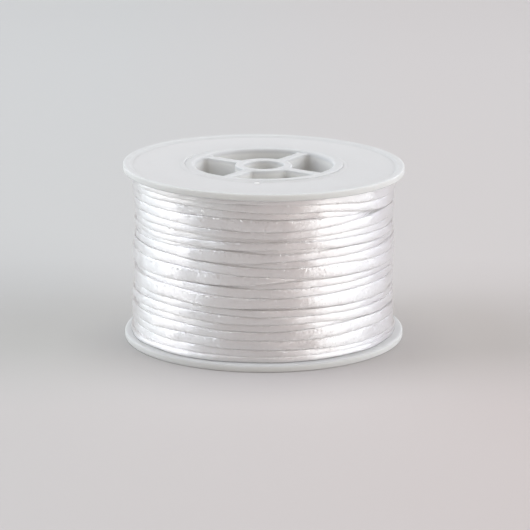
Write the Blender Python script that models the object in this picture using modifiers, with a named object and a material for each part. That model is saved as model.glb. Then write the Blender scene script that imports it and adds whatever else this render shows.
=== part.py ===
"""Roll of rattail cord: a moulded spool that stands on its lower flange, wound with 2 mm satin cord.

Metres, +Z up. The origin is on the surface that the roll stands on, under the middle of the spool.
Azimuths are in degrees from +X towards +Y, so -90 is the front.
"""
import math

import bpy
import numpy as np

MM = 0.001

# Spool
FLANGE_RADIUS = 27.5 * MM
SPOOL_HEIGHT = 34.6 * MM
FLANGE_THICKNESS = 1.4 * MM
RIM_WIDTH = 1.2 * MM
RIM_SLOPE = 0.3 * MM
FACE_RECESS = 0.4 * MM
EDGE_ROUNDING = 0.35 * MM
TOP_FLANGE_LEAN = math.radians(0.7)
BARREL_RADIUS = 15.5 * MM
BARREL_BORE_RADIUS = 13.6 * MM
BARREL_CHAMFER = 0.2 * MM
HUB_RADIUS = 5.6 * MM
HUB_BORE_RADIUS = 3.9 * MM
HUB_RECESS = 0.25 * MM
SPOKE_RECESS = 0.45 * MM
SPOKE_WIDTH = 1.8 * MM
SPOKE_COUNT = 4
FIRST_SPOKE_AZIMUTH = 55
PIECE_GAP = 0.3 * MM
FLANGE_STEPS = 72
BARREL_STEPS = 64

# Wound cord. A turn narrower than the cord is wide is squeezed in deeper than its neighbours.
WINDING_LOW = FLANGE_THICKNESS + PIECE_GAP
WINDING_HIGH = SPOOL_HEIGHT - FLANGE_THICKNESS - 2 * PIECE_GAP
WINDING_INNER_RADIUS = BARREL_RADIUS + PIECE_GAP
WINDING_RADIUS = 25.6 * MM
CORD_WIDTH = 2.1 * MM
CORD_HALF_DEPTH = 1.0 * MM
CORD_SQUARENESS = 2.4
GROOVE_DEPTH = 0.7 * MM
SQUEEZE_DEPTH = 1.1 * MM
SQUEEZE_POWER = 1.5
WINDING_STEPS = 64
WINDING_ROW_HEIGHT = 0.47 * MM
ROW_SAMPLES = 5

# Unevenness of the winding, with a low bulge on its left
UNEVENNESS = 0.12 * MM
UNEVEN_LENGTH = 2.3 * MM
BACK_WANDER = 0.35 * MM
WANDER_LENGTH = 9.0 * MM
BULGE_HEIGHT = 0.5 * MM
BULGE_AZIMUTH = 180
BULGE_MIDDLE = 8.5 * MM
BULGE_REACH = 4.0 * MM

# Height in mm of the groove under each turn of the outside, from the top turn down, at the azimuths
# of the columns. The cord passes round the back from the end of each row to the start of the next.
# Where two rows meet, the turn between them has gone down under its neighbours.
GROOVE_AZIMUTHS = (-155, -130, -105, -80, -55, -35)
GROOVES = (
    (32.40, 32.30, 32.40, 32.30, 31.70, 30.50),
    (31.00, 31.25, 31.10, 30.40, 30.40, 28.40),
    (29.30, 29.50, 29.60, 29.10, 29.05, 28.35),
    (27.65, 27.65, 27.10, 26.95, 27.30, 28.30),
    (26.05, 26.20, 25.75, 25.60, 25.60, 26.00),
    (24.35, 24.75, 24.95, 24.95, 24.65, 24.40),
    (23.20, 23.55, 23.40, 23.55, 23.15, 22.60),
    (22.40, 22.70, 23.35, 22.40, 23.10, 22.55),
    (21.05, 20.95, 20.60, 21.30, 21.30, 21.35),
    (21.00, 20.90, 20.30, 19.75, 20.10, 19.35),
    (19.05, 19.20, 18.55, 18.00, 17.25, 17.20),
    (15.95, 16.50, 16.25, 17.25, 17.20, 17.15),
    (15.90, 16.45, 16.00, 15.85, 15.70, 15.90),
    (14.90, 14.95, 14.10, 14.10, 14.25, 14.40),
    (12.25, 12.40, 11.95, 12.35, 11.65, 11.50),
    (12.20, 12.35, 11.90, 11.75, 11.60, 11.45),
    (10.80, 11.00, 10.50, 10.40, 10.25, 10.25),
    (9.10, 9.50, 8.80, 9.00, 8.80, 8.35),
    (7.90, 8.05, 7.40, 7.45, 8.25, 8.30),
    (5.65, 6.25, 5.90, 5.65, 5.80, 6.15),
    (4.10, 4.20, 4.10, 3.85, 3.50, 3.35),
    (2.55, 2.75, 2.60, 2.40, 2.45, 2.30),
)
GROOVE_SMOOTHING = (-12, -6, 0, 6, 12)


def clear_scene():
    """Removes what the scene holds."""
    for obj in list(bpy.data.objects):
        bpy.data.objects.remove(obj)


def new_collection(name):
    collection = bpy.data.collections.new(name)
    bpy.context.scene.collection.children.link(collection)
    return collection


def new_material(name, colour, roughness):
    """A plain finish with the part's own colour."""
    material = bpy.data.materials.new(name)
    material.use_nodes = True
    shader = material.node_tree.nodes["Principled BSDF"]
    shader.inputs["Base Color"].default_value = (*colour, 1.0)
    shader.inputs["Roughness"].default_value = roughness
    shader.inputs["Metallic"].default_value = 0.0
    return material


def turned(name, profile, steps, collection):
    """A ring turned round Z from a closed profile of (radius, height) that runs down its outer side."""
    mesh = bpy.data.meshes.new(name)
    points = [(radius, 0.0, height) for radius, height in profile]
    edges = [(i, (i + 1) % len(points)) for i in range(len(points))]
    mesh.from_pydata(points, edges, [])
    obj = bpy.data.objects.new(name, mesh)
    collection.objects.link(obj)
    screw = obj.modifiers.new("turn", "SCREW")
    screw.steps = steps
    screw.render_steps = steps
    screw.use_merge_vertices = True
    screw.merge_threshold = 1e-6
    return obj


def as_mesh(obj):
    """Replaces an object's base mesh by what its modifiers make of it."""
    bpy.context.view_layer.update()
    evaluated = obj.evaluated_get(bpy.context.evaluated_depsgraph_get())
    made = bpy.data.meshes.new_from_object(evaluated)
    obj.modifiers.clear()
    obj.data = made
    return obj


def shade(obj, sharp_above):
    """Smooth shading, with edges sharper than an angle in degrees kept crisp."""
    obj.data.shade_smooth()
    obj.data.set_sharp_from_angle(angle=math.radians(sharp_above))


def arc(centre, radius, start, end, count):
    """Points of an arc in the profile's plane, from one angle in degrees to another."""
    points = []
    for i in range(count + 1):
        angle = math.radians(start + (end - start) * i / count)
        points.append((centre[0] + radius * math.cos(angle), centre[1] + radius * math.sin(angle)))
    return points


def flange_profile():
    """A disc with a rounded edge, a raised rim on its outer face and a hole for the barrel.

    Its inner face is at height 0 and the top of its rim at the flange's thickness.
    """
    edge = FLANGE_RADIUS - EDGE_ROUNDING
    hole = BARREL_RADIUS + PIECE_GAP
    face = FLANGE_THICKNESS - FACE_RECESS
    rim = FLANGE_RADIUS - RIM_WIDTH
    profile = arc((edge, FLANGE_THICKNESS - EDGE_ROUNDING), EDGE_ROUNDING, 90, 0, 3)
    profile += arc((edge, EDGE_ROUNDING), EDGE_ROUNDING, 0, -90, 3)
    profile += [(hole, 0.0), (hole, face), (rim - RIM_SLOPE, face), (rim, FLANGE_THICKNESS)]
    return profile


def tube_profile(outer, inner, low, high, chamfer):
    """The wall of a tube, with its four edges broken."""
    return [
        (outer - chamfer, high),
        (outer, high - chamfer),
        (outer, low + chamfer),
        (outer - chamfer, low),
        (inner + chamfer, low),
        (inner, low + chamfer),
        (inner, high - chamfer),
        (inner + chamfer, high),
    ]


def build_flange(name, upper, parts, material):
    """One flange. The upper one leans a little to the right on its barrel."""
    flange = turned(name, flange_profile(), FLANGE_STEPS, parts)
    as_mesh(flange)
    shade(flange, 50)
    flange.data.materials.append(material)
    if upper:
        flange.location.z = SPOOL_HEIGHT - FLANGE_THICKNESS
        flange.rotation_euler.y = TOP_FLANGE_LEAN
    else:
        flange.location.z = FLANGE_THICKNESS
        flange.rotation_euler.x = math.pi
    return flange


def build_spoke(number, helpers):
    """A flat web from the hub to the barrel's wall, over nearly the whole height."""
    inner = (HUB_BORE_RADIUS + HUB_RADIUS) / 2
    outer = (BARREL_BORE_RADIUS + BARREL_RADIUS) / 2
    azimuth = math.radians(FIRST_SPOKE_AZIMUTH + 360 * number / SPOKE_COUNT)
    bpy.ops.mesh.primitive_cube_add(size=1)
    spoke = bpy.context.object
    spoke.name = f"spoke_{number}"
    spoke.scale = (outer - inner, SPOKE_WIDTH, SPOOL_HEIGHT - 2 * SPOKE_RECESS)
    spoke.rotation_euler.z = azimuth
    middle = (inner + outer) / 2
    spoke.location = (middle * math.cos(azimuth), middle * math.sin(azimuth), SPOOL_HEIGHT / 2)
    return as_helper(spoke, helpers)


def as_helper(obj, helpers):
    """Keeps a shape that is joined into a part out of the finished model."""
    for collection in list(obj.users_collection):
        collection.objects.unlink(obj)
    helpers.objects.link(obj)
    obj.hide_render = True
    obj.display_type = "WIRE"
    return obj


def build_barrel(parts, helpers, material):
    """The moulded core: the barrel's wall, a tubular hub and the spokes between them, in one piece."""
    wall = tube_profile(BARREL_RADIUS, BARREL_BORE_RADIUS, 0.0, SPOOL_HEIGHT, BARREL_CHAMFER)
    barrel = turned("spool_barrel", wall, BARREL_STEPS, parts)
    hub_wall = tube_profile(
        HUB_RADIUS, HUB_BORE_RADIUS, HUB_RECESS, SPOOL_HEIGHT - HUB_RECESS, BARREL_CHAMFER
    )
    hub = as_helper(turned("hub_tube", hub_wall, BARREL_STEPS // 2, helpers), helpers)
    joined = [build_spoke(number, helpers) for number in range(SPOKE_COUNT)]
    for helper in joined + [hub]:
        union = barrel.modifiers.new(f"join_{helper.name}", "BOOLEAN")
        union.operation = "UNION"
        union.solver = "EXACT"
        union.object = helper
    as_mesh(barrel)
    shade(barrel, 35)
    barrel.data.materials.append(material)
    return barrel


def groove_knots():
    """The angle in degrees that the cord has turned through at each knot of its groove, and the heights.

    The grooves are one long spiral, which leaves the top of the winding and ends at its bottom.
    """
    columns = np.array(GROOVE_AZIMUTHS, float)
    first = columns[-1] - 360
    last = columns[0] + 360 * len(GROOVES)
    angles = np.concatenate([[first]] + [columns + 360 * row for row in range(len(GROOVES))] + [[last]])
    heights = np.concatenate([[WINDING_HIGH], np.array(GROOVES).ravel() * MM, [WINDING_LOW]])
    return angles, heights


def back_wander(azimuths, heights):
    """How far the turns stray up or down on the back, fading to nothing at the front and the flanges."""
    share = (heights - WINDING_LOW) / (WINDING_HIGH - WINDING_LOW)
    at_back = (0.5 + 0.5 * np.sin(np.radians(azimuths))) * np.sin(np.pi * np.clip(share, 0, 1))
    return BACK_WANDER * at_back * np.sin(2 * np.pi * heights / WANDER_LENGTH + np.radians(3 * azimuths))


def groove_heights(azimuths):
    """Heights of the grooves at each azimuth, one row for each, from the winding's top to its bottom."""
    angles, heights = groove_knots()
    wrapped = (azimuths + 270) % 360 - 270
    grooves = []
    for row in range(-1, len(GROOVES) + 1):
        near = [np.interp(wrapped + 360 * row + shift, angles, heights) for shift in GROOVE_SMOOTHING]
        groove = np.mean(near, axis=0)
        grooves.append(groove + back_wander(azimuths, groove))
    low = np.full_like(azimuths, WINDING_LOW)
    high = np.full_like(azimuths, WINDING_HIGH)
    return np.array([high] + grooves + [low])


def wound_size(azimuths, heights):
    """Radius that a full-width turn reaches: a cylinder, a little uneven, with its bulge on the left."""
    across = np.maximum(0, np.cos(np.radians(azimuths - BULGE_AZIMUTH))) ** 2
    bulge = BULGE_HEIGHT * across * np.exp(-(((heights - BULGE_MIDDLE) / BULGE_REACH) ** 2))
    uneven = UNEVENNESS * np.sin(np.radians(2 * azimuths) + heights / UNEVEN_LENGTH)
    return WINDING_RADIUS + bulge + uneven


def wound_radius(azimuths, heights):
    """Radius of the winding's surface at points given by azimuth and height."""
    grooves = groove_heights(azimuths)
    turn = np.clip((grooves > heights).sum(axis=0) - 1, 0, len(grooves) - 2)
    above = np.take_along_axis(grooves, turn[None], 0)[0]
    below = np.take_along_axis(grooves, turn[None] + 1, 0)[0]
    width = np.maximum(above - below, 0.01 * MM)
    middle = (above + below) / 2
    squeeze = np.clip(1 - width / CORD_WIDTH, 0, 1) ** SQUEEZE_POWER * SQUEEZE_DEPTH
    off_middle = np.clip(np.abs(heights - middle) / (width / 2), 0, 1)
    round_share = (1 - off_middle**CORD_SQUARENESS) ** (1 / CORD_SQUARENESS)
    depth = np.minimum(CORD_HALF_DEPTH * (1 - round_share), GROOVE_DEPTH)
    return wound_size(azimuths, middle) - squeeze - depth


def build_winding(parts, material):
    """The whole wound cord as one ring, whose outer side is raised in the turns that show."""
    rows = round((WINDING_HIGH - WINDING_LOW) / WINDING_ROW_HEIGHT)
    levels = [WINDING_HIGH + (WINDING_LOW - WINDING_HIGH) * row / rows for row in range(rows + 1)]
    profile = [(WINDING_RADIUS, level) for level in levels]
    profile += [(WINDING_INNER_RADIUS, WINDING_LOW), (WINDING_INNER_RADIUS, WINDING_HIGH)]
    winding = turned("cord_winding", profile, WINDING_STEPS, parts)
    as_mesh(winding)
    outer = [v for v in winding.data.vertices if math.hypot(v.co.x, v.co.y) > WINDING_RADIUS - 1 * MM]
    places = np.array([v.co[:] for v in outer])
    azimuths = np.degrees(np.arctan2(places[:, 1], places[:, 0]))
    span = np.linspace(-0.4, 0.4, ROW_SAMPLES) * WINDING_ROW_HEIGHT
    radii = np.mean([wound_radius(azimuths, places[:, 2] + shift) for shift in span], axis=0)
    for vertex, radius in zip(outer, radii):
        scale = radius / math.hypot(vertex.co.x, vertex.co.y)
        vertex.co.x *= scale
        vertex.co.y *= scale
    shade(winding, 60)
    winding.data.materials.append(material)
    return winding


def main():
    clear_scene()
    parts = new_collection("rattail_cord_roll")
    helpers = new_collection("joined_shapes")
    plastic = new_material("spool_plastic", (0.80, 0.82, 0.83), 0.35)
    satin = new_material("satin_cord", (0.90, 0.89, 0.88), 0.30)
    build_barrel(parts, helpers, plastic)
    build_flange("flange_top", True, parts, plastic)
    build_flange("flange_bottom", False, parts, plastic)
    build_winding(parts, satin)


main()
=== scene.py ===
"""Looks of a roll of rattail cord: a white moulded spool wound with satin cord, in soft studio light.

Lengths are in metres and +Z is up. Azimuths are in degrees from +X towards +Y, so -90 is the front.
"""
import math

import bmesh
import bpy
import numpy as np
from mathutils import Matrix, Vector

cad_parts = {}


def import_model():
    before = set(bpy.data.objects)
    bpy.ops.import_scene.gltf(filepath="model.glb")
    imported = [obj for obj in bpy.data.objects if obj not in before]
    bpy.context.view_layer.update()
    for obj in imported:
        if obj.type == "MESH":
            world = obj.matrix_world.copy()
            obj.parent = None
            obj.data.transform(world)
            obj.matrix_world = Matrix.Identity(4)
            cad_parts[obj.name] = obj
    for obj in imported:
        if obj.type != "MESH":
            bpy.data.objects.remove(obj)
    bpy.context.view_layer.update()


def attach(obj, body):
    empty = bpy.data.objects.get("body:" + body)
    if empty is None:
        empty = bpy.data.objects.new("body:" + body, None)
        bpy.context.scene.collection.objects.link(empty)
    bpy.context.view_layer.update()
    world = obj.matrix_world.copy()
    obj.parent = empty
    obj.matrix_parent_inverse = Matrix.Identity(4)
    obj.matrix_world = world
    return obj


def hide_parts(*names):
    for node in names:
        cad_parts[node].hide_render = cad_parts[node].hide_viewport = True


MM = 0.001

# Camera, fitted to the outlines of both flanges in the photograph
PHOTO_WIDTH_PX = 530
FOCAL_LENGTH_PX = 2752.0
SENSOR_WIDTH_MM = 36.0
CAMERA_PLACE = (0.23 * MM, -526.2 * MM, 150.7 * MM)
CAMERA_PITCH = math.radians(14.57)
CAMERA_CLIP = 10 * MM

# Flanges. The face has a rim raised round its edge, and a low collar round its hole.
SPOOL_HEIGHT = 34.6 * MM
FLANGE_RADIUS = 27.5 * MM
FLANGE_THICKNESS = 1.4 * MM
FLANGE_STEPS = 240
TOP_FLANGE_LEAN = math.radians(0.7)
FACE_RECESS = 0.4 * MM
RIM_WIDTH = 1.2 * MM
RIM_SLOPE = 0.6 * MM
EDGE_ROUNDING = 0.35 * MM
EDGE_STEPS = 8
RIM_EDGE_ROUNDING = 0.2 * MM
RIM_EDGE_STEPS = 6
COLLAR_RISE = 0.27 * MM
COLLAR_WIDTH = 1.0 * MM
COLLAR_STEPS = 6
# Length over which corners are cut off, and the shares of it by which the cut's points lie off the corner
SOFT_EDGE = 0.06 * MM
CORNER_SHARE = 0.3
RIM_SHARE = 0.4
# Edges that bend by more than this many degrees stay sharp
SHARP_ANGLE = 60

# Barrel and hub
JOINT_GAP = 0.02 * MM
BARREL_RADIUS = 15.5 * MM
BARREL_BORE_RADIUS = 13.6 * MM
BARREL_ROUNDING = 0.25 * MM
BARREL_MOUTH_ROUNDING = 0.6 * MM
BARREL_STEPS = 160
HUB_RADIUS = 5.6 * MM
HUB_BORE_RADIUS = 3.9 * MM
HUB_RECESS = 0.3 * MM
HUB_ROUNDING = 0.2 * MM
HUB_MOUTH_ROUNDING = 0.35 * MM
HUB_STEPS = 96
ROUNDING_STEPS = 5
MOUTH_STEPS = 8
CORE_SHARP_ANGLE = 30

# Web of spokes between barrel and hub
SPOKE_WIDTH = 1.8 * MM
SPOKE_RECESS = 0.45 * MM
SPOKE_COUNT = 4
FIRST_SPOKE_AZIMUTH = 55
SPOKE_ROUNDING = 0.2 * MM
SPOKE_ROUNDING_STEPS = 3
POCKET_CORNER = 0.9 * MM
POCKET_CORNER_STEPS = 6
POCKET_OUTER_STEPS = 24
POCKET_INNER_STEPS = 8
# Pockets stop just short of the walls of barrel and hub
POCKET_SETBACK = 0.02 * MM
# The web's rims lie inside the walls of barrel and hub, this far outside their bores
WALL_OVERLAP = 0.8 * MM
WEB_OUTER_STEPS = 120
WEB_INNER_STEPS = 60
MERGE_DISTANCE = 0.001 * MM

# The mould's gate mark on the upper face: a flat dome turned from a ring, so it has a pinhole
GATE_MARK_PLACE = (-1.3 * MM, -16.4 * MM)
GATE_MARK_RADIUS = 0.55 * MM
GATE_MARK_HEIGHT = 0.2 * MM
GATE_MARK_PINHOLE = 0.05 * MM
GATE_MARK_TOP_ANGLE = 80
GATE_MARK_RINGS = 6
GATE_MARK_STEPS = 32

# Wound cord. A turn narrower than the cord is wide is squeezed in deeper than its neighbours.
WINDING_CLEARANCE = 0.05 * MM
WINDING_LOW = FLANGE_THICKNESS + WINDING_CLEARANCE
WINDING_HIGH = SPOOL_HEIGHT - FLANGE_THICKNESS - WINDING_CLEARANCE
WINDING_RADIUS = 25.6 * MM
CORD_WIDTH = 2.1 * MM
CORD_HALF_DEPTH = 1.0 * MM
CORD_SQUARENESS = 3.1
CONTACT_GAP = 0.01 * MM
LEAST_HALF_WIDTH = 0.5 * MM
SQUEEZE_DEPTH = 1.1 * MM
SQUEEZE_POWER = 1.5
# Width that a turn would have with nothing beside it over the room it has, and how it swells along the cord
CORD_SPREAD = 1.34
SPREAD_SWELL = 0.08
SPREAD_SWELL_LENGTH = 83.0
# Degrees along the cord between its sections, and left off at its ends
CORD_STEP = 2.5
END_LEAD = 8.0
# Points of a section: many on its outer half, which shows, and few on its inner half
OUTER_POINTS = 19
INNER_POINTS = 4
OUTER_SPAN = 90.0

# Unevenness of the winding, with a low bulge on its left
UNEVENNESS = 0.12 * MM
UNEVEN_LENGTH = 2.3 * MM
UNEVEN_LOBES = 2
BACK_WANDER = 0.35 * MM
WANDER_LENGTH = 9.0 * MM
WANDER_LOBES = 3
BULGE_HEIGHT = 0.5 * MM
BULGE_AZIMUTH = 180
BULGE_MIDDLE = 8.5 * MM
BULGE_REACH = 4.0 * MM
# The turns beside the flanges stand out further
END_BULGE = 1.1 * MM
END_REACH = 1.2 * MM
# Height and length in degrees of the swells along the cord. The longest set one turn off from the next.
SWELLS = (
    (0.09 * MM, 942.0),
    (0.05 * MM, 577.0),
    (0.11 * MM, 41.0),
    (0.065 * MM, 23.3),
    (0.022 * MM, 13.3),
    (0.012 * MM, 6.1),
)

# Height in mm of the groove under each turn of the outside, from the top turn down, at the azimuths
# of the columns. The cord passes round the back from the end of each row to the start of the next.
# Where two rows meet, the turn between them has gone down under its neighbours.
GROOVE_AZIMUTHS = (-155, -130, -105, -80, -55, -35)
GROOVES = (
    (32.40, 32.30, 32.40, 32.30, 31.70, 30.50),
    (31.00, 31.25, 31.10, 30.40, 30.40, 28.40),
    (29.30, 29.50, 29.60, 29.10, 29.05, 28.35),
    (27.65, 27.65, 27.10, 26.95, 27.30, 28.30),
    (26.05, 26.20, 25.75, 25.60, 25.60, 26.00),
    (24.35, 24.75, 24.95, 24.95, 24.65, 24.40),
    (23.20, 23.55, 23.40, 23.55, 23.15, 22.60),
    (22.40, 22.70, 23.35, 22.40, 23.10, 22.55),
    (21.05, 20.95, 20.60, 21.30, 21.30, 21.35),
    (21.00, 20.90, 20.30, 19.75, 20.10, 19.35),
    (19.05, 19.20, 18.55, 18.00, 17.25, 17.20),
    (15.95, 16.50, 16.25, 17.25, 17.20, 17.15),
    (15.90, 16.45, 16.00, 15.85, 15.70, 15.90),
    (14.90, 14.95, 14.10, 14.10, 14.25, 14.40),
    (12.25, 12.40, 11.95, 12.35, 11.65, 11.50),
    (12.20, 12.35, 11.90, 11.75, 11.60, 11.45),
    (10.80, 11.00, 10.50, 10.40, 10.25, 10.25),
    (9.10, 9.50, 8.80, 9.00, 8.80, 8.35),
    (7.90, 8.05, 7.40, 7.45, 8.25, 8.30),
    (5.65, 6.25, 5.90, 5.65, 5.80, 6.15),
    (4.10, 4.20, 4.10, 3.85, 3.50, 3.35),
    (2.55, 2.75, 2.60, 2.40, 2.45, 2.30),
)
# Degrees to either side of a place over which the groove's height is evened out
GROOVE_SMOOTHING = (-12, -6, 0, 6, 12)
# A groove's bottom lies deeper than where its height was read, so it is seen higher than it is
GROOVE_DROP = 0.22 * MM

# Lamps: name, size across and up, distance, azimuth and elevation from the spool, watts and colour
LAMPS = (
    ("left_front_softbox", 0.77, 0.75, 1.50, 212, 16, 0.9, (0.7, 0.98, 1.0)),
    ("left_softbox", 0.77, 0.75, 1.50, 180, 16, 6.0, (0.97, 0.99, 1.0)),
    ("left_back_softbox", 0.77, 0.75, 1.50, 150, 16, 4.4, (0.83, 0.94, 1.0)),
    ("high_left_softbox", 0.88, 0.80, 1.50, 180, 45, 5.8, (0.78, 0.84, 1.0)),
    ("front_right_softbox", 0.77, 0.75, 1.50, -58, 16, 0.8, (1.0, 0.72, 0.62)),
    ("right_front_softbox", 0.77, 0.75, 1.50, -30, 16, 6.8, (0.99, 1.0, 0.99)),
    ("right_softbox", 0.77, 0.75, 1.50, 0, 16, 5.4, (0.90, 0.96, 1.0)),
    ("right_back_softbox", 0.77, 0.75, 1.50, 30, 16, 1.9, (0.78, 0.81, 1.0)),
    ("high_right_softbox", 0.88, 0.80, 1.50, 0, 45, 3.1, (0.71, 0.79, 1.0)),
    ("top_softbox", 1.08, 1.09, 1.50, 90, 80, 10.2, (0.97, 1.0, 0.96)),
)
LAMP_AIM = (0.0, 0.0, 17 * MM)
WORLD_COLOUR = (0.30, 0.26, 0.245)


def link(obj):
    """Puts an object in the scene."""
    bpy.context.scene.collection.objects.link(obj)
    return obj


def mesh_object(name, points, faces, sharp_above=180):
    """A smooth-shaded object, with edges over the given angle left sharp."""
    mesh = bpy.data.meshes.new(name)
    mesh.from_pydata([tuple(point) for point in points], [], faces)
    mesh.update()
    mesh.shade_smooth()
    mesh.set_sharp_from_angle(angle=math.radians(sharp_above))
    return link(bpy.data.objects.new(name, mesh))


def tube_faces(rings, sides, closed):
    """Quads between rings of points.

    A closed tube joins its last ring to its first, and an open one has caps.
    """
    faces = []
    for ring in range(rings if closed else rings - 1):
        here = ring * sides
        there = (ring + 1) % rings * sides
        for side in range(sides):
            after = (side + 1) % sides
            faces.append((here + side, there + side, there + after, here + after))
    if not closed:
        faces.append(tuple(range(sides)))
        faces.append(tuple(reversed(range((rings - 1) * sides, rings * sides))))
    return faces


def arc(centre, radius, start, end, count):
    """Points of an arc, from one direction in degrees to another."""
    angles = np.radians(np.linspace(start, end, count + 1))
    return [(centre[0] + radius * math.cos(a), centre[1] + radius * math.sin(a)) for a in angles]


def half_wave(value):
    """Takes a sine or cosine from between -1 and 1 to between 0 and 1."""
    return 0.5 + 0.5 * value


def lathe(profile, steps):
    """Points and faces of a ring turned round Z, from (radius, height) pairs that run down its outside."""
    points = []
    for step in reversed(range(steps)):
        angle = 2 * math.pi * step / steps
        points += [(r * math.cos(angle), r * math.sin(angle), z) for r, z in profile]
    return points, tube_faces(steps, len(profile), True)


def flange_profile():
    """Half section of a flange, with its inner side at height 0 and its face up."""
    edge = FLANGE_RADIUS - EDGE_ROUNDING
    rim_edge = FLANGE_RADIUS - RIM_EDGE_ROUNDING
    rim_shoulder = FLANGE_THICKNESS - RIM_EDGE_ROUNDING
    rim = FLANGE_RADIUS - RIM_WIDTH
    face = FLANGE_THICKNESS - FACE_RECESS
    collar = face + COLLAR_RISE
    hole = BARREL_RADIUS + JOINT_GAP
    cut = CORNER_SHARE * SOFT_EDGE
    profile = arc((rim_edge, rim_shoulder), RIM_EDGE_ROUNDING, 90, 0, RIM_EDGE_STEPS)
    profile += arc((edge, EDGE_ROUNDING), EDGE_ROUNDING, 0, -90, EDGE_STEPS)
    profile += [
        (hole + SOFT_EDGE, 0.0),
        (hole, SOFT_EDGE),
        (hole, collar - SOFT_EDGE),
        (hole + cut, collar - cut),
        (hole + SOFT_EDGE, collar),
    ]
    for share in np.linspace(0, 1, COLLAR_STEPS + 1)[1:]:
        rise = COLLAR_RISE * half_wave(math.cos(math.pi * share))
        profile.append((hole + SOFT_EDGE + COLLAR_WIDTH * share, face + rise))
    profile += [
        (rim - RIM_SLOPE - SOFT_EDGE, face),
        (rim - RIM_SLOPE, face + cut),
        (rim - SOFT_EDGE, FLANGE_THICKNESS - RIM_SHARE * SOFT_EDGE),
        (rim + SOFT_EDGE, FLANGE_THICKNESS),
    ]
    return profile


def build_flange(name, node, upper, material):
    """One flange, round and soft at its edges, for its CAD solid."""
    points, faces = lathe(flange_profile(), FLANGE_STEPS)
    flange = mesh_object(name, points, faces, SHARP_ANGLE)
    if upper:
        flange.location.z = SPOOL_HEIGHT - FLANGE_THICKNESS
        flange.rotation_euler.y = TOP_FLANGE_LEAN
    else:
        flange.location.z = FLANGE_THICKNESS
        flange.rotation_euler.x = math.pi
    flange.data.materials.append(material)
    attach(flange, "root")
    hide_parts(node)


def tube_profile(outer, inner, low, high, rounding, mouth_rounding):
    """A tube's wall with rounded ends, rounder at the mouths of its bore."""
    mouth = inner + mouth_rounding
    profile = arc((outer - rounding, high - rounding), rounding, 90, 0, ROUNDING_STEPS)
    profile += arc((outer - rounding, low + rounding), rounding, 0, -90, ROUNDING_STEPS)
    profile += arc((mouth, low + mouth_rounding), mouth_rounding, -90, -180, MOUTH_STEPS)
    profile += arc((mouth, high - mouth_rounding), mouth_rounding, 180, 90, MOUTH_STEPS)
    return profile


def pocket_outline(start, end):
    """Outline of the pocket between the spokes at two azimuths, with rounded corners."""
    outer = BARREL_BORE_RADIUS - POCKET_SETBACK - POCKET_CORNER
    inner = HUB_RADIUS + POCKET_SETBACK + POCKET_CORNER
    aside = SPOKE_WIDTH / 2 + POCKET_CORNER
    far = math.degrees(math.asin(aside / outer))
    near = math.degrees(math.asin(aside / inner))

    def corner(azimuth, radius, first, last):
        centre = (radius * math.cos(math.radians(azimuth)), radius * math.sin(math.radians(azimuth)))
        return arc(centre, POCKET_CORNER, first, last, POCKET_CORNER_STEPS)

    def wall(radius, first, last, steps):
        return arc((0, 0), radius, first, last, steps)[1:-1]

    outline = corner(start + far, outer, start - 90, start + far)
    outline += wall(outer + POCKET_CORNER, start + far, end - far, POCKET_OUTER_STEPS)
    outline += corner(end - far, outer, end - far, end + 90)
    outline += corner(end - near, inner, end + 90, end - near + 180)
    outline += wall(inner - POCKET_CORNER, end - near, start + near, POCKET_INNER_STEPS)
    outline += corner(start + near, inner, start + near + 180, start + 270)
    return outline


def web_outlines():
    """Outlines of the web's two rims and of its pockets."""
    outlines = [
        arc((0, 0), BARREL_BORE_RADIUS + WALL_OVERLAP, 0, 360, WEB_OUTER_STEPS)[:-1],
        arc((0, 0), HUB_BORE_RADIUS + WALL_OVERLAP, 0, 360, WEB_INNER_STEPS)[:-1],
    ]
    spacing = 360 / SPOKE_COUNT
    for i in range(SPOKE_COUNT):
        start = FIRST_SPOKE_AZIMUTH + i * spacing
        outlines.append(pocket_outline(start, start + spacing))
    return outlines


def build_web():
    """Points and faces of the web between hub and barrel, cut through by its pockets."""
    low = SPOKE_RECESS
    high = SPOOL_HEIGHT - SPOKE_RECESS
    curve = bpy.data.curves.new("web", "CURVE")
    curve.dimensions = "2D"
    curve.fill_mode = "BOTH"
    curve.extrude = (high - low) / 2 - SPOKE_ROUNDING
    curve.bevel_depth = SPOKE_ROUNDING
    curve.bevel_resolution = SPOKE_ROUNDING_STEPS
    curve.offset = -SPOKE_ROUNDING
    for outline in web_outlines():
        spline = curve.splines.new("POLY")
        spline.points.add(len(outline) - 1)
        spline.points.foreach_set("co", [v for x, y in outline for v in (x, y, 0, 1)])
        spline.use_cyclic_u = True
    web = link(bpy.data.objects.new("web", curve))
    bpy.context.view_layer.update()
    graph = bpy.context.evaluated_depsgraph_get()
    mesh = bpy.data.meshes.new_from_object(web.evaluated_get(graph))
    bpy.data.objects.remove(web)
    # The curve's caps are loose until their points are joined to its sides
    shape = bmesh.new()
    shape.from_mesh(mesh)
    bmesh.ops.remove_doubles(shape, verts=shape.verts, dist=MERGE_DISTANCE)
    bmesh.ops.recalc_face_normals(shape, faces=shape.faces)
    shape.to_mesh(mesh)
    shape.free()
    points = [(v.co.x, v.co.y, v.co.z + (low + high) / 2) for v in mesh.vertices]
    faces = [tuple(polygon.vertices) for polygon in mesh.polygons]
    return points, faces


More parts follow.
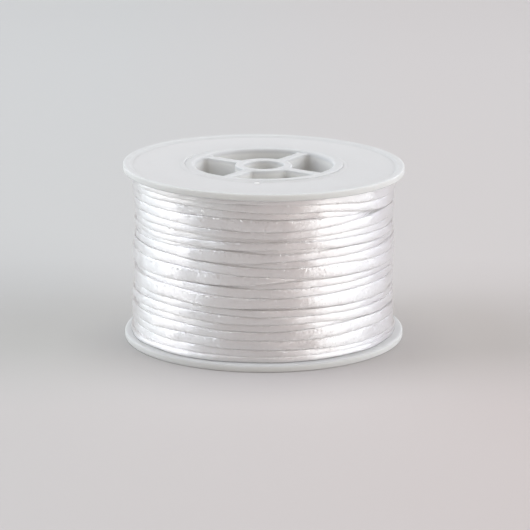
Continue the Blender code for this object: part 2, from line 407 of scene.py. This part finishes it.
def build_core(material):
    """Barrel, hub and the web between them, moulded in one, for the barrel's CAD solid."""
    barrel = tube_profile(
        BARREL_RADIUS, BARREL_BORE_RADIUS, 0, SPOOL_HEIGHT, BARREL_ROUNDING, BARREL_MOUTH_ROUNDING
    )
    hub = tube_profile(
        HUB_RADIUS, HUB_BORE_RADIUS, HUB_RECESS, SPOOL_HEIGHT - HUB_RECESS, HUB_ROUNDING, HUB_MOUTH_ROUNDING
    )
    core = mesh_object("spool_core", *lathe(barrel, BARREL_STEPS))
    helpers = [mesh_object("hub", *lathe(hub, HUB_STEPS)), mesh_object("web", *build_web())]
    for helper in helpers:
        union = core.modifiers.new(helper.name, "BOOLEAN")
        union.operation = "UNION"
        union.object = helper
    bpy.context.view_layer.update()
    graph = bpy.context.evaluated_depsgraph_get()
    joined = bpy.data.meshes.new_from_object(core.evaluated_get(graph))
    core.modifiers.clear()
    core.data = joined
    joined.shade_smooth()
    joined.set_sharp_from_angle(angle=math.radians(CORE_SHARP_ANGLE))
    for helper in helpers:
        bpy.data.objects.remove(helper)
    core.data.materials.append(material)
    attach(core, "root")
    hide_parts("spool_barrel")


def build_gate_mark(material):
    """The little dome that the mould's gate leaves on the upper face."""
    dome = arc((0, 0), 1.0, GATE_MARK_TOP_ANGLE, 0, GATE_MARK_RINGS)
    profile = [(GATE_MARK_RADIUS * r, GATE_MARK_HEIGHT * z) for r, z in dome]
    profile += [
        (GATE_MARK_RADIUS, -SOFT_EDGE),
        (GATE_MARK_PINHOLE, -SOFT_EDGE),
        (GATE_MARK_PINHOLE, GATE_MARK_HEIGHT),
    ]
    points, faces = lathe(profile, GATE_MARK_STEPS)
    mark = mesh_object("gate_mark", points, faces, SHARP_ANGLE)
    face = SPOOL_HEIGHT - FACE_RECESS
    drop = GATE_MARK_PLACE[0] * math.sin(TOP_FLANGE_LEAN)
    mark.location = (GATE_MARK_PLACE[0], GATE_MARK_PLACE[1], face - drop)
    mark.data.materials.append(material)
    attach(mark, "root")


def groove(angles):
    """Height of the groove at angles that count on from the top turn down, a full circle for each turn."""
    columns = np.array(GROOVE_AZIMUTHS, float)
    rows = len(GROOVES)
    known = [columns + 360 * row for row in range(rows)]
    known = np.concatenate([[columns[-1] - 360]] + known + [[columns[0] + 360 * rows]])
    traced = np.array(GROOVES).ravel() * MM - GROOVE_DROP
    heights = np.concatenate([[WINDING_HIGH], traced, [WINDING_LOW]])
    height = np.mean([np.interp(angles + shift, known, heights) for shift in GROOVE_SMOOTHING], axis=0)
    # No groove was traced at the back, so the turns there get a wander of their own
    share = (height - WINDING_LOW) / (WINDING_HIGH - WINDING_LOW)
    at_back = half_wave(np.sin(np.radians(angles))) * np.sin(np.pi * np.clip(share, 0, 1))
    wave = np.sin(2 * np.pi * height / WANDER_LENGTH + np.radians(WANDER_LOBES * angles))
    return height + BACK_WANDER * at_back * wave


def wound_size(angles, heights):
    """Radius of the winding's outside before the dents of its turns."""
    across = np.maximum(0, np.cos(np.radians(angles - BULGE_AZIMUTH))) ** 2
    bulge = BULGE_HEIGHT * across * np.exp(-(((heights - BULGE_MIDDLE) / BULGE_REACH) ** 2))
    uneven = UNEVENNESS * np.sin(np.radians(UNEVEN_LOBES * angles) + heights / UNEVEN_LENGTH)
    from_end = np.minimum(heights - WINDING_LOW, WINDING_HIGH - heights)
    return WINDING_RADIUS + bulge + uneven + END_BULGE * np.exp(-((from_end / END_REACH) ** 2))


def cord_route():
    """Angles along the cord, with its radius and height there, and half the room between its grooves."""
    first = GROOVE_AZIMUTHS[-1] - 360 + END_LEAD
    last = GROOVE_AZIMUTHS[0] + 360 * (len(GROOVES) + 1) - END_LEAD
    angles = np.arange(first, last, CORD_STEP)
    ceiling = WINDING_HIGH - WINDING_RADIUS * math.sin(TOP_FLANGE_LEAN) * np.cos(np.radians(angles))
    above = np.minimum(groove(angles - 360), ceiling)
    below = groove(angles)
    width = above - below
    squeeze = np.clip(1 - width / CORD_WIDTH, 0, 1) ** SQUEEZE_POWER * SQUEEZE_DEPTH
    half_width = np.maximum(width / 2, LEAST_HALF_WIDTH)
    middle = np.clip((above + below) / 2, WINDING_LOW + half_width, ceiling - half_width)
    swell = sum(size * np.sin(angles / length * 2 * np.pi) for size, length in SWELLS)
    centre = wound_size(angles, middle) - squeeze + swell - CORD_HALF_DEPTH
    return angles, centre, middle, half_width


def cord_section():
    """Directions round the cord's section from its outermost point, and how far out and up it is there."""
    outer = np.linspace(-OUTER_SPAN, OUTER_SPAN, OUTER_POINTS)
    inner = np.linspace(OUTER_SPAN, 360 - OUTER_SPAN, INNER_POINTS + 2)[1:-1]
    around = np.radians(np.concatenate([outer, inner]))
    bend = 2 / CORD_SQUARENESS
    out = np.sign(np.cos(around)) * np.abs(np.cos(around)) ** bend
    up = np.sign(np.sin(around)) * np.abs(np.sin(around)) ** bend
    return around, out, up


def build_cord(material):
    """The outer layer of the winding: one cord, turn under turn, for the winding's CAD solid."""
    angles, centre, middle, half_width = cord_route()
    around, out, up = cord_section()
    turned = np.radians(angles)
    radius = centre[:, None] + CORD_HALF_DEPTH * out
    # A turn is wider than its room, so it lies flat against its neighbours, here more, there less
    spread = CORD_SPREAD + SPREAD_SWELL * np.sin(angles / SPREAD_SWELL_LENGTH * 2 * np.pi)
    room = half_width[:, None] - CONTACT_GAP
    height = middle[:, None] + np.clip((spread * half_width)[:, None] * up, -room, room)
    points = np.stack(
        [radius * np.cos(turned)[:, None], radius * np.sin(turned)[:, None], height], axis=-1
    )
    faces = tube_faces(len(angles), len(around), False)
    cord = mesh_object("cord_turns", points.reshape(-1, 3), faces)

    # Place on the cord: metres along it, and metres round it from its outermost line
    along = np.broadcast_to((turned * WINDING_RADIUS)[:, None], radius.shape)
    round_it = (CORD_WIDTH / 2) * np.broadcast_to(around, radius.shape)
    place = np.stack([along, round_it, np.zeros_like(radius)], axis=-1)
    attribute = cord.data.attributes.new("cord_place", "FLOAT_VECTOR", "POINT")
    attribute.data.foreach_set("vector", place.astype(np.float32).ravel())
    cord.data.materials.append(material)
    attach(cord, "root")
    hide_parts("cord_winding")


# Most values of a noise texture lie between these two
NOISE_LOW = 0.3
NOISE_HIGH = 0.7


class Shading:
    """A material's node tree, with short calls to add nodes and wire them."""

    def __init__(self, name):
        self.material = bpy.data.materials.new(name)
        self.material.use_nodes = True
        self.tree = self.material.node_tree
        self.shader = self.tree.nodes["Principled BSDF"]

    def add(self, kind, inputs=(), **settings):
        """A new node. Each input is a value, or the output of another node."""
        node = self.tree.nodes.new("ShaderNode" + kind)
        for name, value in settings.items():
            setattr(node, name, value)
        for name, value in dict(inputs).items():
            self.set(node, name, value)
        return node

    def set(self, node, name, value):
        """Gives a node's input a value, or wires another node's output to it."""
        if isinstance(value, bpy.types.NodeSocket):
            self.tree.links.new(value, node.inputs[name])
        else:
            node.inputs[name].default_value = value

    def math(self, operation, *values):
        return self.add("Math", enumerate(values), operation=operation).outputs[0]

    def vector(self, operation, *values):
        """What a vector operation gives, as a vector."""
        return self.add("VectorMath", enumerate(values), operation=operation).outputs["Vector"]

    def number(self, operation, *values):
        """What a vector operation gives, as a number."""
        return self.add("VectorMath", enumerate(values), operation=operation).outputs["Value"]

    def parts(self, vector):
        """The X, Y and Z of a vector."""
        return self.add("SeparateXYZ", {"Vector": vector}).outputs

    def centred(self, colour):
        """A random colour as a vector, whose parts are as often below zero as above."""
        return self.vector("ADD", colour, (-0.5, -0.5, -0.5))

    def noise(self, vector, scale, detail=2.0, output="Fac"):
        node = self.add("TexNoise", {"Vector": vector, "Scale": scale, "Detail": detail})
        return node.outputs[output]

    def ramp(self, value, *stops):
        """A colour for each value, from (value, colour) stops."""
        node = self.add("ValToRGB", {"Fac": value})
        elements = node.color_ramp.elements
        while len(elements) < len(stops):
            elements.new(0.5)
        for element, (place, colour) in zip(elements, stops):
            element.position = place
            element.color = (*colour, 1)
        return node.outputs["Color"]

    def stretch(self, value, low, high, to_low, to_high):
        """A value between low and high, taken to between two others and held there."""
        names = ("Value", "From Min", "From Max", "To Min", "To Max")
        inputs = zip(names, (value, low, high, to_low, to_high))
        return self.add("MapRange", inputs).outputs["Result"]

    def bump(self, height, distance, normal=None):
        """Gives the surface a relief, over a normal that already leans where one is given."""
        node = self.add("Bump", {"Height": height, "Distance": distance})
        if normal is not None:
            self.set(node, "Normal", normal)
        self.set(self.shader, "Normal", node.outputs["Normal"])

    def finish(self, **inputs):
        """Sets the shader's inputs, whose names are given with _ for a space."""
        for name, value in inputs.items():
            self.set(self.shader, name.replace("_", " "), value)
        return self.material


# Satin: floats of yarn cross the cord at a slant both ways, and some of them stand out and glint
FLOAT_SLANT = math.radians(32)
FLOAT_PITCH = 0.42 * MM
FLOAT_LENGTH = 0.2 * MM
FLOAT_WIDTH = 0.14 * MM
FLOAT_TILT = 0.64
# How far a noise moves the floats from their even places
FLOAT_DRIFT = 0.12 * MM
DRIFT_SCALE = 900.0
# Floats lie smoother on the cord's outermost line, up to one distance from it, and are loose past the other
SMOOTH_REACH = 0.15 * MM
LOOSE_REACH = 0.42 * MM
SMOOTH_SHARE = 0.33
# Relief: grains, with these shares of the lozenges where floats cross and of streaks along the cord
SATIN_RELIEF = 0.015 * MM
LOZENGE_RELIEF = 0.35
STREAK_RELIEF = 0.6
STREAK_SCALES = (250, 5000, 1)
STREAK_DETAIL = 3.0
GRAIN_SCALE = 5200.0
# Streaks and grains also tint the cord, in these shares, and grains set its gloss
STREAK_TINT = 0.7
GRAIN_TINT = 0.3
SATIN_PALE = (0.99, 0.98, 0.98)
SATIN_DIM = (0.93, 0.92, 0.915)
SATIN_ROUGHNESS = (0.36, 0.46)
SATIN_DEPTH = 1.2 * MM


def satin_lean(look, place, drifted):
    """Each float leans its own way, most of them a little and a few of them far."""
    cells = look.vector("MULTIPLY", drifted, (1 / FLOAT_LENGTH, 1 / FLOAT_WIDTH, 1))
    floats = look.add("TexVoronoi", {"Vector": cells, "Scale": 1.0}).outputs["Color"]
    way = look.vector("MULTIPLY", look.centred(floats), (2, 2, 2))
    square = look.vector("MULTIPLY", way, way)
    fourth = look.vector("MULTIPLY", square, square)
    sixth = look.vector("MULTIPLY", fourth, square)
    lean = look.vector("MULTIPLY", sixth, way)
    aside = look.math("ABSOLUTE", look.parts(place)["Y"])
    tilt = look.stretch(aside, SMOOTH_REACH, LOOSE_REACH, FLOAT_TILT * SMOOTH_SHARE, FLOAT_TILT)
    return look.add("VectorMath", {0: lean, "Scale": tilt}, operation="SCALE").outputs["Vector"]


def satin():
    """White satin cord: fine slanting floats, long streaks and a strong soft gloss."""
    look = Shading("satin_cord")
    place = look.add("Attribute", attribute_name="cord_place").outputs["Vector"]
    drift = look.centred(look.noise(place, DRIFT_SCALE, output="Color"))
    drifted = look.vector("ADD", look.vector("MULTIPLY", drift, (FLOAT_DRIFT,) * 3), place)
    turns = 2 * math.pi / FLOAT_PITCH
    along = turns * math.cos(FLOAT_SLANT)
    across = turns * math.sin(FLOAT_SLANT)
    rising = look.math("SINE", look.number("DOT_PRODUCT", drifted, (along, across, 0)))
    falling = look.math("SINE", look.number("DOT_PRODUCT", drifted, (along, -across, 0)))
    lozenges = look.math("MULTIPLY", rising, falling)
    streaks = look.noise(look.vector("MULTIPLY", place, STREAK_SCALES), 1.0, STREAK_DETAIL)
    grains = look.noise(place, GRAIN_SCALE)
    fibres = look.math("ADD", grains, look.math("MULTIPLY", streaks, STREAK_RELIEF))
    height = look.math("MULTIPLY_ADD", lozenges, LOZENGE_RELIEF, fibres)
    facing = look.add("NewGeometry").outputs["Normal"]
    leaning = look.vector("ADD", facing, satin_lean(look, place, drifted))
    look.bump(height, SATIN_RELIEF, look.vector("NORMALIZE", leaning))
    streak_tint = look.math("MULTIPLY", streaks, STREAK_TINT)
    tint = look.math("ADD", streak_tint, look.math("MULTIPLY", grains, GRAIN_TINT))
    return look.finish(
        Base_Color=look.ramp(tint, (NOISE_LOW, SATIN_DIM), (NOISE_HIGH, SATIN_PALE)),
        Metallic=0.66,
        Roughness=look.stretch(grains, NOISE_LOW, NOISE_HIGH, *SATIN_ROUGHNESS),
        Specular_IOR_Level=0.3,
        Anisotropic=0.93,
        Anisotropic_Rotation=0.25,
        Sheen_Weight=0.05,
        Sheen_Roughness=0.4,
        Subsurface_Weight=0.6,
        Subsurface_Scale=SATIN_DEPTH,
        Subsurface_Radius=(1.0, 1.0, 1.0),
    )


# White plastic, a little see-through. The rim and the core's ends, which light enters from two sides,
# have painted shade: a tone a shade darker than the rest. The walls inside the core have painted light:
# a paler tone. The upright edge of a flange, which light leaves again, has painted light: it is paler.
FACE_TONE = (0.64, 0.646, 0.648)
RIM_PAINTED_SHADE_TONE = (0.61, 0.62, 0.622)
WALL_PAINTED_LIGHT_TONE = (0.785, 0.79, 0.775)
RING_PAINTED_SHADE_TONE = (0.62, 0.63, 0.634)
MARK_TONE = (0.9, 0.9, 0.9)
WALL_DEPTH = 1.2 * MM
# The edge's painted-light gain sets in over the outermost part of the flange, and is full at a share of it
EDGE_PAINTED_LIGHT_GAIN = (1.15, 1.15, 1.12)
EDGE_WALL = 0.03 * MM
EDGE_FULL = 0.6
# Wide soft clouds make the borders between tones uneven by these amounts
CLOUD_SCALE = 90.0
RIM_CLOUDS = 0.4
RING_CLOUDS = 0.3
MARK_NOISE_SCALE = 900.0
SEE_THROUGH = 0.85
SEE_THROUGH_DEPTH = 1.6 * MM
# Relief: pits, with this many times as much of slow waves
PLASTIC_RELIEF = 0.012 * MM
PLASTIC_DETAIL = 3.0
PLASTIC_ROUGHNESS = (0.5, 0.62)
PIT_SCALE = 2600.0
WAVE_SCALE = 160.0
WAVE_RELIEF = 3.0


def clouded(look, value, place, amount):
    """A value between two tones, made uneven by clouds."""
    clouds = look.math("SUBTRACT", look.noise(place, CLOUD_SCALE, PLASTIC_DETAIL), 0.5)
    return look.math("MULTIPLY_ADD", clouds, amount, value)


def moulded(look, place, tone, see_through):
    """Finishes a white moulded plastic: a soft shine, slow waves and fine pits."""
    waves = look.noise(place, WAVE_SCALE, PLASTIC_DETAIL)
    pits = look.noise(place, PIT_SCALE, PLASTIC_DETAIL)
    look.bump(look.math("MULTIPLY_ADD", waves, WAVE_RELIEF, pits), PLASTIC_RELIEF)
    return look.finish(
        Base_Color=tone,
        Roughness=look.stretch(pits, NOISE_LOW, NOISE_HIGH, *PLASTIC_ROUGHNESS),
        Specular_IOR_Level=0.25,
        Subsurface_Weight=see_through,
        Subsurface_Scale=SEE_THROUGH_DEPTH,
        Subsurface_Radius=(1.0, 1.0, 1.0),
    )


def flange_plastic():
    """Plastic of the flanges: a face tone, painted shade on the rim and a painted-light gain on the upright
    edge.
    """
    look = Shading("flange_plastic")
    place = look.add("TexCoord").outputs["Object"]
    out = look.number("LENGTH", look.vector("MULTIPLY", place, (1, 1, 0)))
    foot = FLANGE_RADIUS - RIM_WIDTH - RIM_SLOPE
    rim = look.stretch(out, foot - RIM_SLOPE, foot + RIM_SLOPE, 0.0, 1.0)
    # Painted shade: the rim's tone is darker than the face's
    tone = look.ramp(clouded(look, rim, place, RIM_CLOUDS), (0.0, FACE_TONE), (1.0, RIM_PAINTED_SHADE_TONE))
    # Painted light: the upright edge is made paler by a gain
    upright = look.stretch(out, FLANGE_RADIUS - EDGE_WALL, FLANGE_RADIUS, 0.0, 1.0)
    edge = look.ramp(upright, (0.0, (0, 0, 0)), (EDGE_FULL, (1, 1, 1)))
    gain = look.vector("MULTIPLY_ADD", edge, [part - 1 for part in EDGE_PAINTED_LIGHT_GAIN], (1, 1, 1))
    return moulded(look, place, look.vector("MULTIPLY", tone, gain), SEE_THROUGH)


def core_plastic():
    """Plastic of the core: painted light on the walls inside it, a paler tone, and painted shade on its
    ends.
    """
    look = Shading("core_plastic")
    place = look.add("TexCoord").outputs["Object"]
    middle = SPOOL_HEIGHT / 2
    from_middle = look.math("ABSOLUTE", look.math("SUBTRACT", look.parts(place)["Z"], middle))
    end = look.stretch(from_middle, middle - WALL_DEPTH, middle - SPOKE_RECESS - SPOKE_ROUNDING, 0.0, 1.0)
    # Painted light on the walls inside, a paler tone, and painted shade on the ends, a darker one
    tone = look.ramp(clouded(look, end, place, RING_CLOUDS), (0.0, WALL_PAINTED_LIGHT_TONE), (1.0, RING_PAINTED_SHADE_TONE))
    return moulded(look, place, tone, SEE_THROUGH)


def mark_plastic():
    """Plastic of the gate mark, paler than the rest and not see-through."""
    look = Shading("mark_plastic")
    place = look.add("TexCoord").outputs["Object"]
    tone = look.ramp(look.noise(place, MARK_NOISE_SCALE), (0.0, WALL_PAINTED_LIGHT_TONE), (1.0, MARK_TONE))
    return moulded(look, place, tone, 0.0)


# Floor: tones at distances behind the spool's axis, with painted shadow in the darker band beside the spool
# and painted light towards the back, and the painted light tint at its right over that at its left
FLOOR_HALF_SIDE = 3.0
FLOOR_PAINTED_LIGHT_AND_SHADOW_TONES = (
    (-100 * MM, (0.560, 0.530, 0.520)),
    (-50 * MM, (0.560, 0.530, 0.520)),
    (-10 * MM, (0.510, 0.500, 0.490)),
    (25 * MM, (0.525, 0.515, 0.505)),
    (60 * MM, (0.570, 0.562, 0.555)),
    (300 * MM, (0.585, 0.582, 0.580)),
)
FLOOR_LEFT_PAINTED_LIGHT_TINT = (0.985, 1.01, 1.015)
FLOOR_RIGHT_PAINTED_LIGHT_TINT = (1.015, 0.985, 0.982)
PAINTED_LIGHT_TINT_HALF_WIDTH = 45 * MM
PAPER_GRAIN_SCALE = 900.0
PAPER_RELIEF = 0.02 * MM


def paper():
    """Matt pale paper, with painted shadow and light toned in from front to back and a painted light tint
    from left to right.
    """
    look = Shading("paper_floor")
    place = look.add("TexCoord").outputs["Object"]
    look.bump(look.noise(place, PAPER_GRAIN_SCALE), PAPER_RELIEF)
    sides = look.parts(place)
    nearest = FLOOR_PAINTED_LIGHT_AND_SHADOW_TONES[0][0]
    farthest = FLOOR_PAINTED_LIGHT_AND_SHADOW_TONES[-1][0]
    stops = [((y - nearest) / (farthest - nearest), tone) for y, tone in FLOOR_PAINTED_LIGHT_AND_SHADOW_TONES]
    # Painted shadow in a band beside the spool and painted light towards the back, as tones from front to
    # back
    tone = look.ramp(look.stretch(sides["Y"], nearest, farthest, 0.0, 1.0), *stops)
    # Painted light tint, cooler at the left and warmer at the right
    aside = look.stretch(sides["X"], -PAINTED_LIGHT_TINT_HALF_WIDTH, PAINTED_LIGHT_TINT_HALF_WIDTH, 0.0, 1.0)
    tint = look.ramp(aside, (0.0, FLOOR_LEFT_PAINTED_LIGHT_TINT), (1.0, FLOOR_RIGHT_PAINTED_LIGHT_TINT))
    return look.finish(Base_Color=look.vector("MULTIPLY", tone, tint), Roughness=0.75)


def build_floor():
    """A plain pale surface under the spool."""
    side = FLOOR_HALF_SIDE
    points = [(-side, -side, 0), (side, -side, 0), (side, side, 0), (-side, side, 0)]
    floor = mesh_object("floor", points, [(0, 1, 2, 3)])
    floor.data.materials.append(paper())


def build_camera():
    """The camera that took the photograph, as its lens and place were fitted."""
    data = bpy.data.cameras.new("camera")
    data.sensor_fit = "HORIZONTAL"
    data.sensor_width = SENSOR_WIDTH_MM
    data.lens = FOCAL_LENGTH_PX * SENSOR_WIDTH_MM / PHOTO_WIDTH_PX
    data.clip_start = CAMERA_CLIP
    camera = link(bpy.data.objects.new("camera", data))
    camera.location = CAMERA_PLACE
    camera.rotation_euler = (math.pi / 2 - CAMERA_PITCH, 0, 0)
    bpy.context.scene.camera = camera


def build_lamps():
    """Softboxes at both sides and above, in a dim room."""
    aim = Vector(LAMP_AIM)
    for name, across, up, distance, azimuth, elevation, power, colour in LAMPS:
        data = bpy.data.lights.new(name, "AREA")
        data.shape = "RECTANGLE"
        data.size = across
        data.size_y = up
        data.energy = power
        data.color = colour
        lamp = link(bpy.data.objects.new(name, data))
        azimuth = math.radians(azimuth)
        elevation = math.radians(elevation)
        level = math.cos(elevation)
        away = Vector((level * math.cos(azimuth), level * math.sin(azimuth), math.sin(elevation)))
        lamp.location = aim + distance * away
        lamp.rotation_euler = away.to_track_quat("Z", "Y").to_euler()
        lamp.visible_camera = False
    world = bpy.data.worlds.new("room")
    bpy.context.scene.world = world
    world.use_nodes = True
    world.node_tree.nodes["Background"].inputs["Color"].default_value = (*WORLD_COLOUR, 1)


def main():
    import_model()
    build_camera()
    build_lamps()
    build_floor()
    cord = satin()
    flange = flange_plastic()
    build_cord(cord)
    build_flange("flange_upper", "flange_top", True, flange)
    build_flange("flange_lower", "flange_bottom", False, flange)
    build_core(core_plastic())
    build_gate_mark(mark_plastic())
    bpy.context.scene.view_settings.view_transform = "Standard"


main()
